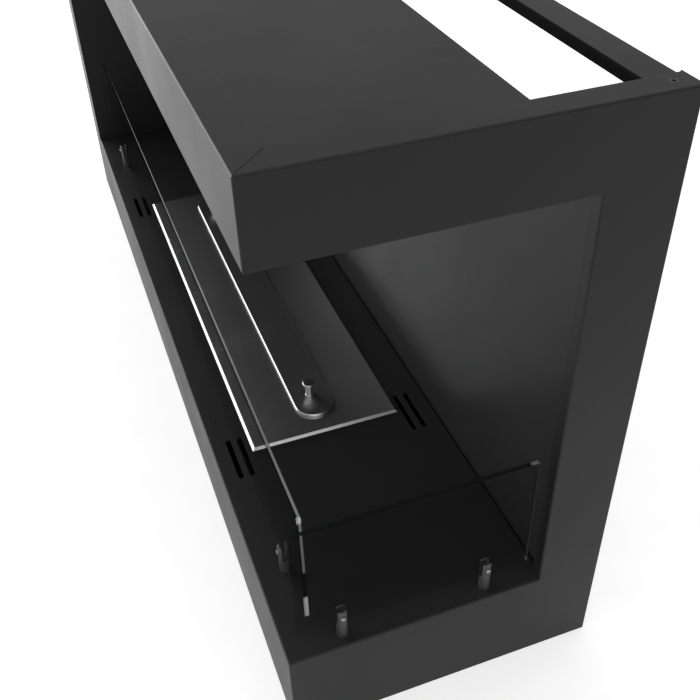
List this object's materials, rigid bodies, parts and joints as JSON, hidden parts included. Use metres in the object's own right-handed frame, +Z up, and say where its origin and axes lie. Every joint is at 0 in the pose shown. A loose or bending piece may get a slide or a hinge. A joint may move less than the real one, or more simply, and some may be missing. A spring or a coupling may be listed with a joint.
{
  "type": "bioethanol fireplace",
  "caption": "Black corner fireplace insert, open at the front and right-hand end, with a long brushed-steel bioethanol burner, its knobbed lid and low glass screens on posts.",
  "frame": {"origin": "middle of the casing's underside", "axes": "+X along the length towards the open end, +Y from the open front to the back, +Z up"},
  "size_m": [1.132, 0.3, 0.563],
  "materials": {
    "black_coat": "matt black heat-resistant powder coat",
    "brushed_stainless": "brushed along the length, ground bevels",
    "folded_stainless": "mill-finish folded sheet",
    "turned_stainless": "turned, fine lathe grain",
    "satin_steel": "turned, dark satin",
    "steel_screw": "bright steel",
    "black_screw": "black oxide",
    "clear_glass": "clear toughened glass, ground edges",
    "silicone_pad": "black silicone",
    "ceramic_board": "pressed ceramic board",
    "ceramic_fibre": "loose ceramic wool"
  },
  "bodies": {
    "casing": {"front_frame": "black_coat", "end_frame": "black_coat", "side_casing": "black_coat", "hood_top_plate": "black_coat", "hearth_plate": "black_coat", "ceiling_plate": "black_coat", "back_liner": "black_coat", "side_liner": "black_coat", "base_pan": "black_coat", "hood_beam": "black_coat", "hood_end_beam": "black_coat", "rear_upright_near": "black_coat", "rear_upright_far": "black_coat", "rear_top_rail": "black_coat", "base_brace_near": "black_coat", "base_brace_far": "black_coat", "burner_housing": "black_coat", "clamp_screws": "steel_screw", "post_screws": "steel_screw", "casing_screws": "black_screw", "front_post_near": "satin_steel", "front_post_far": "satin_steel", "end_post_front": "satin_steel", "end_post_rear": "satin_steel", "front_pad_near": "silicone_pad", "front_pad_far": "silicone_pad", "end_pad_front": "silicone_pad", "end_pad_rear": "silicone_pad"},
    "burner": {"burner_plate": "brushed_stainless", "overflow_tray": "folded_stainless", "fuel_chamber": "folded_stainless", "chamber_supports": "ceramic_board", "fibre_fill": "ceramic_fibre", "fibre_screen": "folded_stainless"},
    "lid": {"lid_plate": "brushed_stainless", "lid_rim": "folded_stainless", "knob_near": "turned_stainless", "knob_far": "turned_stainless", "knob_screws": "steel_screw"},
    "front_pane": {"front_glass": "clear_glass"},
    "end_pane": {"end_glass": "clear_glass"}
  },
  "joints": [
    {"name": "burner_lift", "type": "slide", "parent": "casing", "child": "burner", "axis": [0, 0, 1], "range_m": [0, 0.12]},
    {"name": "lid_lift", "type": "slide", "parent": "burner", "child": "lid", "axis": [0, 0, 1], "range_m": [0, 0.1]},
    {"name": "front_pane_lift", "type": "slide", "parent": "casing", "child": "front_pane", "axis": [0, 0, 1], "range_m": [0, 0.12]},
    {"name": "end_pane_lift", "type": "slide", "parent": "casing", "child": "end_pane", "axis": [0, 0, 1], "range_m": [0, 0.12]}
  ]
}
